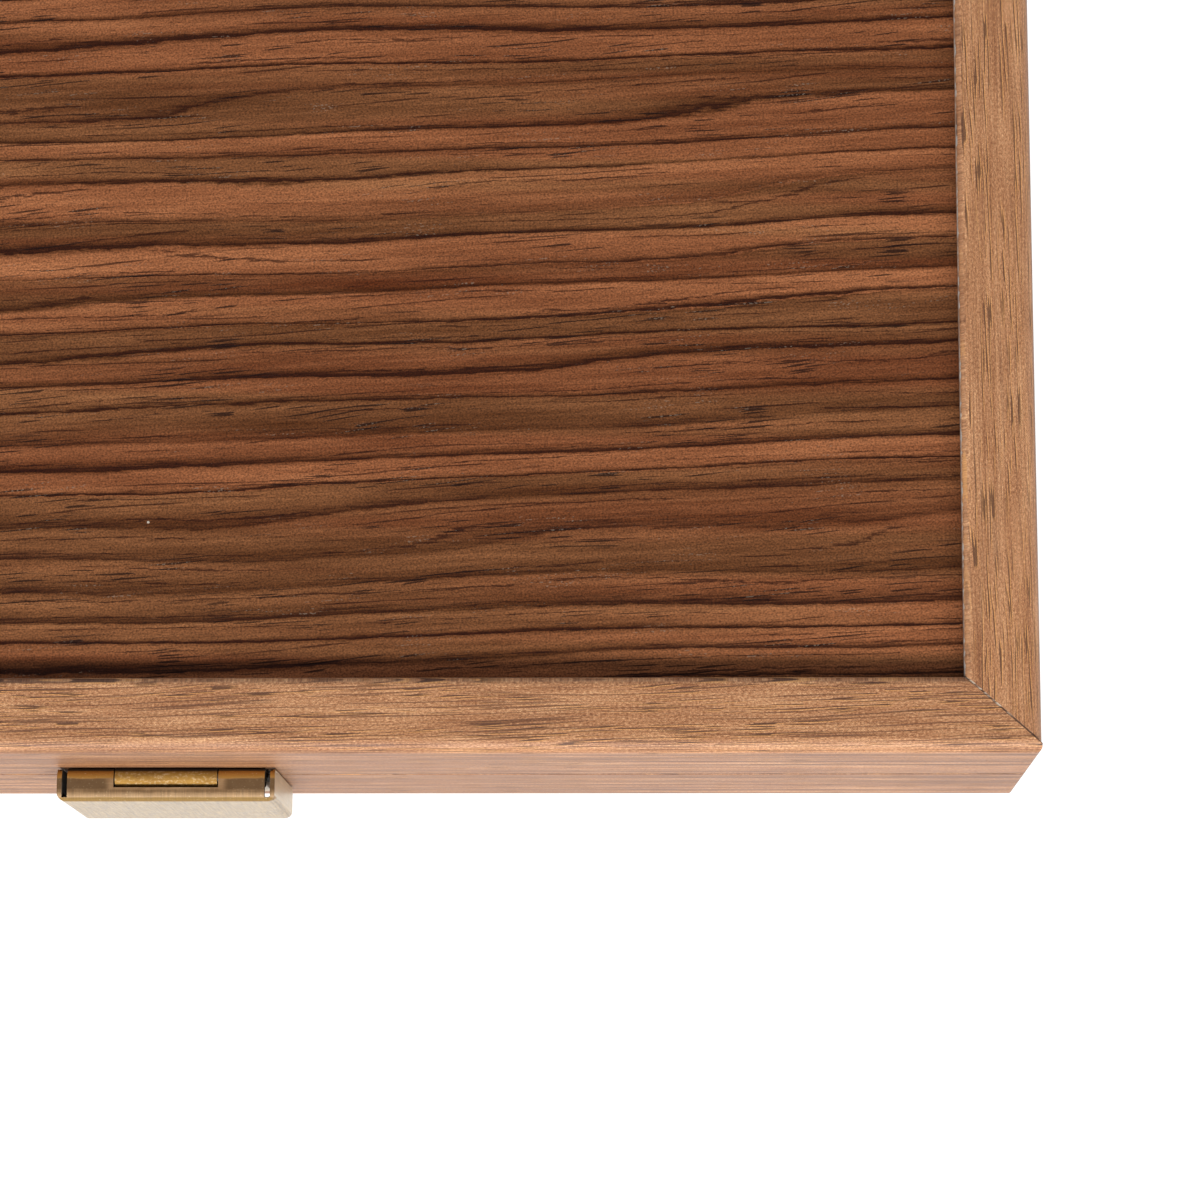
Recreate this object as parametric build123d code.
from build123d import *
import math
import os

# Backgammon case, closed: two mitred trays that meet rim to rim, hinged at the back, caught in front.
# Millimetres. X runs along the long side, -Y is the catch side, +Y the hinge side, +Z is up.
# The origin is on the table under the middle of the case.

# The case and its frame moulding
case_length = 480.0
case_width = 260.0
case_height = 50.0
rim_gap = 0.2
rail_width = 10.8
outer_round = 2.0
inner_round = 1.4
edge_softening = 0.5
corner_softening = 0.8
mitre_overlap = 1.2

# The veneered panel that slides in the moulding's groove, from the outside inwards
panel_recess = 2.8
groove_depth = 5.0
veneer_thickness = 0.6
core_thickness = 3.6
field_thickness = 1.2

# The inlaid points: six at each short end of a tray, in two woods by turns
points_per_end = 6
point_length = 182.0
point_base = 36.0
point_tip = 0.8
inlay_depth = 0.6

# Butt hinges, let into the rims at the back
hinge_offset = 150.0
hinge_length = 50.0
leaf_depth = 8.5
leaf_thickness = 1.0
barrel_radius = 2.3
barrel_clearance = 0.3
hinge_axis_behind = 0.2
hinge_pin_radius = 1.0
running_clearance = 0.05
knuckle_count = 5
knuckle_gap = 0.2
hinge_screw_pitch = 17.0
hinge_screw_head = 2.1
hinge_screw_shank = 1.1
hinge_screw_length = 10.0
hinge_screw_setback = 5.5
screw_sides = 12

# Catches: a box-shaped flap hangs from a plate on the upper tray and grips a keeper on the lower one
catch_offset = 113.5
catch_top = 33.63
catch_width = 32.0
catch_height = 23.63
catch_projection = 4.96
flap_sheet = 0.7
flap_bend = 1.2
flap_wall_gap = 0.3
flap_lip_projection = 3.0
slit_width = 0.8
slit_front = 3.0
window_width = 15.4
window_front = 1.55
catch_pin_radius = 0.65
pin_from_wall = 1.45
plate_sheet = pin_from_wall - catch_pin_radius - running_clearance
plate_width = 28.8
plate_tab_width = 15.0
plate_top = -1.7
plate_bottom = -6.1
plate_corner = 1.5
plate_screw_offset = 11.0
plate_screw_height = -4.0
keeper_sheet = 0.8
keeper_width = 26.0
keeper_top = -9.0
keeper_bottom = -21.1
keeper_screw_offset = 9.5
keeper_screw_height = -12.6
hump_width = 11.0
hump_start = -11.5
hump_crest = -19.0
hump_end = -21.0
hump_projection = 2.95
hump_round = 1.0
small_screw_head = 1.7
small_screw_crown = 1.0
small_screw_rise = 0.8
small_screw_shank = 0.8
small_screw_length = 8.0

# Derived sizes
tray_height = (case_height - rim_gap) / 2
meeting_plane = case_height / 2
panel_stack = veneer_thickness + core_thickness + field_thickness
panel_length = case_length - 2 * (rail_width - groove_depth)
panel_width = case_width - 2 * (rail_width - groove_depth)
field_length = case_length - 2 * rail_width
field_width = case_width - 2 * rail_width
hinge_axis_y = case_width / 2 + hinge_axis_behind
knuckle_pitch = hinge_length / knuckle_count
pin_height = catch_top - catch_pin_radius - flap_sheet
flap_knuckle_radius = catch_pin_radius + flap_sheet


def export(shape, name):
    """Write one named piece."""
    export_step(shape, f"parts/{name}.step")


def box_between(low, high):
    """A box given by its two opposite corners."""
    size = [b - a for a, b in zip(low, high)]
    middle = [(a + b) / 2 for a, b in zip(low, high)]
    return Pos(*middle) * Box(*size)


def rod_along_x(radius, start, end):
    """A round bar on the X axis between two places."""
    return Pos((start + end) / 2, 0, 0) * Rot(0, 90, 0) * Cylinder(radius, end - start)


def prism_along_x(outline, start, end):
    """Extrude a face, drawn with local x along +Y and local y along +Z, from one X to another."""
    plane = Plane(origin=(start, 0, 0), x_dir=(0, 1, 0), z_dir=(1, 0, 0))
    return extrude(plane * outline, end - start)


def flat_sided_bar(low_radius, high_radius, low, high):
    """A screw's head or shank along Z: two regular polygons joined by flat sides."""
    rings = []
    for radius, height in ((low_radius, low), (high_radius, high)):
        turns = [2 * math.pi * side / screw_sides for side in range(screw_sides)]
        rings.append([(radius * math.cos(turn), radius * math.sin(turn), height) for turn in turns])
    quads = []
    for side in range(screw_sides):
        nearby = (side + 1) % screw_sides
        quads.append([rings[0][side], rings[0][nearby], rings[1][nearby], rings[1][side]])
    faces = [Face(Wire.make_polygon(corners, close=True)) for corners in quads + rings]
    return Part() + Solid(Shell(faces))


def corner_at(face, x, y):
    """The vertex of a flat outline nearest to a place."""
    return face.vertices().sort_by_distance((x, y, 0))[0]


def grouped(pieces):
    """Several separate solids in one node."""
    return Compound(children=[piece.solid() for piece in pieces])


# Frame rails

def rail_section():
    """Moulding: local x runs inwards from the outer face, local y from the panel side to the rim."""
    groove_floor = rail_width - groove_depth
    groove_top = panel_recess + panel_stack
    outline = make_face(
        Polyline(
            (0, 0),
            (rail_width, 0),
            (rail_width, panel_recess),
            (groove_floor, panel_recess),
            (groove_floor, groove_top),
            (rail_width, groove_top),
            (rail_width, tray_height),
            (0, tray_height),
            close=True,
        )
    )
    outline = fillet(corner_at(outline, 0, 0), outer_round)
    outline = fillet(corner_at(outline, rail_width, 0), inner_round)
    for corner in ((rail_width, tray_height), (0, tray_height)):
        outline = fillet(corner_at(outline, *corner), edge_softening)
    return outline


def mitred_rail(length, tip, cut):
    """A rail along X with its outer face on y = 0 and mitred ends.

    tip is how much of its end stays square at the outer corner, and cut is how much the outer face
    is shortened at each end.
    """
    half = length / 2
    bar = prism_along_x(rail_section(), -half, half)
    end = [(half - cut, 0), (half - rail_width, rail_width)]
    if tip:
        end.insert(1, (half, tip))
    corners = end + [(-x, y) for x, y in reversed(end)]
    return bar & extrude(make_face(Polyline(*corners, close=True)), tray_height)


def tray_rails():
    """The four rails of the lower tray, with the four upright corners of the frame eased.

    The long rails reach past the short ones at the outer corners by the overlap, as in the photo, so
    each mitre runs a little flatter than 45 degrees.
    """
    block = extrude(RectangleRounded(case_length, case_width, corner_softening), tray_height)
    long_rail = mitred_rail(case_length, mitre_overlap, 0)
    short_rail = mitred_rail(case_width, 0, mitre_overlap)
    placed = {
        "front_rail": Pos(0, -case_width / 2, 0) * long_rail,
        "back_rail": Pos(0, case_width / 2, 0) * Rot(0, 0, 180) * long_rail,
        "left_rail": Pos(-case_length / 2, 0, 0) * Rot(0, 0, -90) * short_rail,
        "right_rail": Pos(case_length / 2, 0, 0) * Rot(0, 0, 90) * short_rail,
    }
    return {name: rail & block for name, rail in placed.items()}


# Panel and play field

def sheet(bottom, thickness):
    """A full panel sheet that fills the groove all round."""
    return Pos(0, 0, bottom + thickness / 2) * Box(panel_length, panel_width, thickness)


def point_inlay(end, row):
    """One tapering point, its base against the short rail at that end and its tip towards the middle."""
    pitch = field_width / points_per_end
    y = -field_width / 2 + (row + 0.5) * pitch
    base = end * field_length / 2
    tip = base - end * point_length
    outline = make_face(
        Polyline(
            (base, y - point_base / 2),
            (base, y + point_base / 2),
            (tip, y + point_tip / 2),
            (tip, y - point_tip / 2),
            close=True,
        )
    )
    field_top = panel_recess + panel_stack
    return extrude(Pos(0, 0, field_top - inlay_depth) * outline, inlay_depth)


def tray_panel():
    """Outer veneer, core, and the field sheet with its two alternating sets of points let in flush."""
    points = ([], [])
    for end in (-1, 1):
        for row in range(points_per_end):
            opposite = 1 if end > 0 else 0
            points[(row + opposite) % 2].append(point_inlay(end, row))
    field = sheet(panel_recess + veneer_thickness + core_thickness, field_thickness)
    for point in points[0] + points[1]:
        field -= point
    return {
        "outer_veneer": sheet(panel_recess, veneer_thickness),
        "panel_core": sheet(panel_recess + veneer_thickness, core_thickness),
        "play_field": field,
        "light_points": grouped(points[0]),
        "dark_points": grouped(points[1]),
    }


# Hinges, drawn about the pin's axis for a hinge at x = 0

def countersunk_screw():
    """A wood screw that points down, its flat head's face on z = 0."""
    neck = -leaf_thickness
    head = flat_sided_bar(hinge_screw_shank, hinge_screw_head, neck, 0)
    return head + flat_sided_bar(hinge_screw_shank, hinge_screw_shank, -hinge_screw_length, neck)


def knuckle_spans(first):
    """The X ranges of every second knuckle, counted from the given one."""
    left = -hinge_length / 2
    spans = []
    for index in range(first, knuckle_count, 2):
        start = left + index * knuckle_pitch + knuckle_gap / 2
        spans.append((start, start + knuckle_pitch - knuckle_gap))
    return spans


def hinge_screw_places():
    """The three screws of one leaf, from the hinge's middle and the pin's axis."""
    y = -hinge_screw_setback - hinge_axis_behind
    return [Pos(step * hinge_screw_pitch, y, -rim_gap / 2) for step in (-1, 0, 1)]


def hinge_leaf(first, bore):
    """A leaf below the meeting plane, with its rolled knuckles and countersunk holes."""
    top = -rim_gap / 2
    half = hinge_length / 2
    notch = -barrel_radius - barrel_clearance
    back_edge = -leaf_depth - hinge_axis_behind
    leaf = box_between((-half, back_edge, top - leaf_thickness), (half, notch, top))
    outer_corners = leaf.edges().filter_by(Axis.Z).group_by(Axis.Y)[0]
    leaf = fillet(outer_corners, 1.0)
    for start, end in knuckle_spans(first):
        tongue = box_between((start, notch, top - leaf_thickness), (end, 0, top))
        leaf += tongue + rod_along_x(barrel_radius, start, end)
    leaf -= rod_along_x(bore, -half, half)
    for place in hinge_screw_places():
        leaf -= place * countersunk_screw()
    return leaf


def hinge_pocket():
    """What a rim loses to one hinge: the leaf's mortise and a round channel for the barrel."""
    half = hinge_length / 2 + 0.1
    floor = -rim_gap / 2 - leaf_thickness
    back_edge = -leaf_depth - hinge_axis_behind
    mortise = box_between((-half, back_edge, floor), (half, 1, 1))
    return mortise + rod_along_x(barrel_radius + barrel_clearance, -half, half)


# Catches, drawn about the pin's axis for a catch at x = 0, with the case's front wall behind it

def raised_screw(sheet_thickness):
    """A small screw along +Y: a raised head in front of the sheet, its shank through it into the rail."""
    head = flat_sided_bar(small_screw_head, small_screw_crown, 0, small_screw_rise)
    screw = head + flat_sided_bar(small_screw_shank, small_screw_shank, -small_screw_length, 0)
    return Pos(0, pin_from_wall - sheet_thickness, 0) * Rot(90, 0, 0) * screw


def rounded_sheet(width, bottom, top, thickness):
    """A flat plate on the wall, with its four corners rounded."""
    plane = Plane(origin=(0, pin_from_wall, (bottom + top) / 2), x_dir=(1, 0, 0), z_dir=(0, -1, 0))
    return extrude(plane * RectangleRounded(width, top - bottom, plate_corner), thickness)


def latch_plate():
    """Base plate: its middle tab rises along the wall and is rolled once round the pin."""
    bore = catch_pin_radius + running_clearance
    tab_half = plate_tab_width / 2
    face = pin_from_wall - plate_sheet
    plate = rounded_sheet(plate_width, plate_bottom, plate_top, plate_sheet)
    plate += box_between((-tab_half, face, plate_bottom / 2), (tab_half, pin_from_wall, 0))
    plate += rod_along_x(bore + plate_sheet, -tab_half, tab_half)
    plate -= rod_along_x(bore, -tab_half, tab_half)
    seam = box_between((-tab_half, face - 0.2, -pin_from_wall - 0.1), (tab_half, face, -0.4))
    return plate - seam


def catch_screw_places(offset, height):
    """The two screws of a plate or keeper."""
    return [Pos(side * offset, 0, height) for side in (-1, 1)]


def keeper():
    """Keeper: a screwed plate whose middle strip is pressed out into a sloping hump."""
    base = rounded_sheet(keeper_width, keeper_bottom, keeper_top, keeper_sheet)
    crest = pin_from_wall - hump_projection
    outline = make_face(
        Polyline((pin_from_wall, hump_start), (crest, hump_crest), (pin_from_wall, hump_end), close=True)
    )
    outline = fillet(corner_at(outline, crest, hump_crest), hump_round)
    hump = prism_along_x(outline, -hump_width / 2, hump_width / 2)
    hollow = Pos(0, keeper_sheet, 0) * hump
    return base + hump - hollow


def latch_flap():
    """Flap: a pan folded from sheet, slit beside its top flange, which is rolled round the pin's ends."""
    half = catch_width / 2
    front = pin_from_wall - catch_projection
    rear = pin_from_wall - flap_wall_gap
    top = flap_knuckle_radius
    bottom = top - catch_height
    outside = box_between((-half, front, bottom), (half, rear, top))
    front_edges = outside.edges().group_by(Axis.Y)[0]
    outside = fillet(front_edges, flap_bend)
    inner = half - flap_sheet
    inside = box_between(
        (-inner, front + flap_sheet, bottom + flap_sheet),
        (inner, rear + 1, top - flap_sheet),
    )
    inside = fillet(inside.edges().group_by(Axis.Y)[0], flap_bend - flap_sheet)
    pan = outside - inside

    swing = flap_knuckle_radius
    meet = (swing**2 - rear**2) ** 0.5
    side = make_face(
        Polyline((0, swing), (front, swing), (front, bottom), (rear, bottom), (rear, meet))
        + RadiusArc((0, swing), (rear, meet), swing)
    )
    pan &= prism_along_x(side, -half, half)

    lip_edge = pin_from_wall - flap_lip_projection
    pan -= box_between((-inner, lip_edge, bottom - 1), (inner, rear + 1, bottom + flap_sheet))
    roll_start = window_width / 2
    roll_end = inner - slit_width
    for sign in (-1, 1):
        slit = sorted((sign * inner, sign * roll_end))
        pan -= box_between((slit[0], -slit_front, 0), (slit[1], rear + 1, top + 1))
    pan -= box_between((-roll_start, -window_front, -1), (roll_start, rear + 1, top + 1))
    for sign in (-1, 1):
        start, end = sorted((sign * roll_start, sign * roll_end))
        pan += rod_along_x(flap_knuckle_radius, start, end)
    return pan - rod_along_x(catch_pin_radius, -inner, inner)


# Assembly

def mirrored(shape):
    """The same piece on the upper tray."""
    return mirror(shape, about=Plane(origin=(0, 0, meeting_plane)))


hinge_sites = {
    "left": Pos(-hinge_offset, hinge_axis_y, meeting_plane),
    "right": Pos(hinge_offset, hinge_axis_y, meeting_plane),
}
catch_sites = {
    "left": Pos(-catch_offset, -case_width / 2 - pin_from_wall, pin_height),
    "right": Pos(catch_offset, -case_width / 2 - pin_from_wall, pin_height),
}

hinge_screws = []
for site in hinge_sites.values():
    hinge_screws += [site * place * countersunk_screw() for place in hinge_screw_places()]

plate_screws = []
keeper_screws = []
for site in catch_sites.values():
    for place in catch_screw_places(plate_screw_offset, plate_screw_height):
        plate_screws.append(site * place * raised_screw(plate_sheet))
    for place in catch_screw_places(keeper_screw_offset, keeper_screw_height):
        keeper_screws.append(site * place * raised_screw(keeper_sheet))

lower = tray_rails()
for site in hinge_sites.values():
    lower["back_rail"] -= site * hinge_pocket()
for screw in hinge_screws:
    lower["back_rail"] -= screw
lower.update(tray_panel())
upper = {name: mirrored(piece) for name, piece in lower.items()}
# The woods swap in the upper tray, so that they go on alternating across the hinge line when it lies open
upper["light_points"], upper["dark_points"] = upper["dark_points"], upper["light_points"]
for screw in keeper_screws:
    lower["front_rail"] -= screw
for screw in plate_screws:
    upper["front_rail"] -= screw

for name, piece in lower.items():
    export(piece, "lower_" + name)
for name, piece in upper.items():
    export(piece, "upper_" + name)

for side, site in hinge_sites.items():
    half = hinge_length / 2
    loose_bore = hinge_pin_radius + running_clearance
    export(site * hinge_leaf(0, hinge_pin_radius), side + "_hinge_lower_leaf")
    export(mirrored(site * hinge_leaf(1, loose_bore)), side + "_hinge_upper_leaf")
    export(site * rod_along_x(hinge_pin_radius, -half, half), side + "_hinge_pin")
export(grouped(hinge_screws), "lower_hinge_screws")
export(grouped([mirrored(screw) for screw in hinge_screws]), "upper_hinge_screws")

for side, site in catch_sites.items():
    plate = latch_plate()
    for place in catch_screw_places(plate_screw_offset, plate_screw_height):
        plate -= place * raised_screw(plate_sheet)
    base = keeper()
    for place in catch_screw_places(keeper_screw_offset, keeper_screw_height):
        base -= place * raised_screw(keeper_sheet)
    pin_half = catch_width / 2 - flap_sheet - slit_width
    export(site * plate, side + "_latch_plate")
    export(site * base, side + "_latch_keeper")
    export(site * latch_flap(), side + "_latch_flap")
    export(site * rod_along_x(catch_pin_radius, -pin_half, pin_half), side + "_latch_pin")
export(grouped(plate_screws), "latch_plate_screws")
export(grouped(keeper_screws), "latch_keeper_screws")
